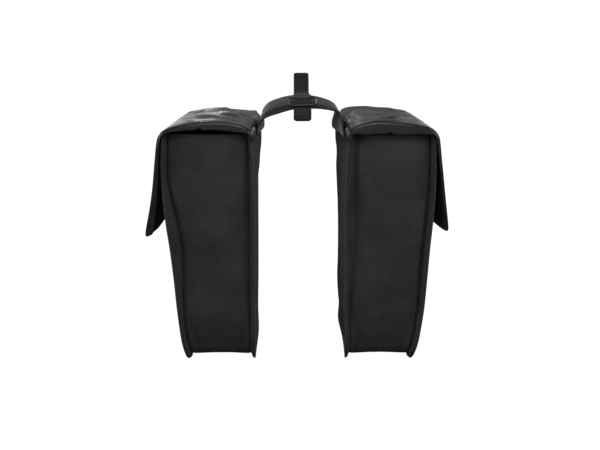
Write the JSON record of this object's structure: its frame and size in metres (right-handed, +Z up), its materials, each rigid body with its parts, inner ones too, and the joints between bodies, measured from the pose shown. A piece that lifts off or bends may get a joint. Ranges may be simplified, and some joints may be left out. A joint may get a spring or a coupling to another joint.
{
  "type": "motorcycle saddlebag pair",
  "caption": "Joined pair of soft black motorcycle saddlebags: flat upright bags with inset gussets and loose flap lids, on a wide yoke band with a lengthwise strap and slide.",
  "frame": {"origin": "on the floor, under the middle of the pair's box", "axes": "+Z up; Y along the motorcycle, the slide's end of the strap towards -Y; X across, one bag on each side"},
  "size_m": [0.4154, 0.347, 0.3972],
  "materials": {
    "bag_fabric": "matte black coated woven fabric",
    "lid_leather": "satin black fine-grained synthetic leather",
    "yoke_leather": "satin black fine-grained synthetic leather",
    "strap_webbing": "black flat webbing",
    "slide_metal": "gloss black"
  },
  "bodies": {
    "root": {"left_front_panel": "bag_fabric", "left_back_panel": "bag_fabric", "left_gusset": "bag_fabric", "left_lid": "lid_leather", "right_front_panel": "bag_fabric", "right_back_panel": "bag_fabric", "right_gusset": "bag_fabric", "right_lid": "lid_leather", "yoke_band": "yoke_leather", "centre_strap": "strap_webbing", "slide_buckle": "slide_metal"}
  },
  "joints": []
}
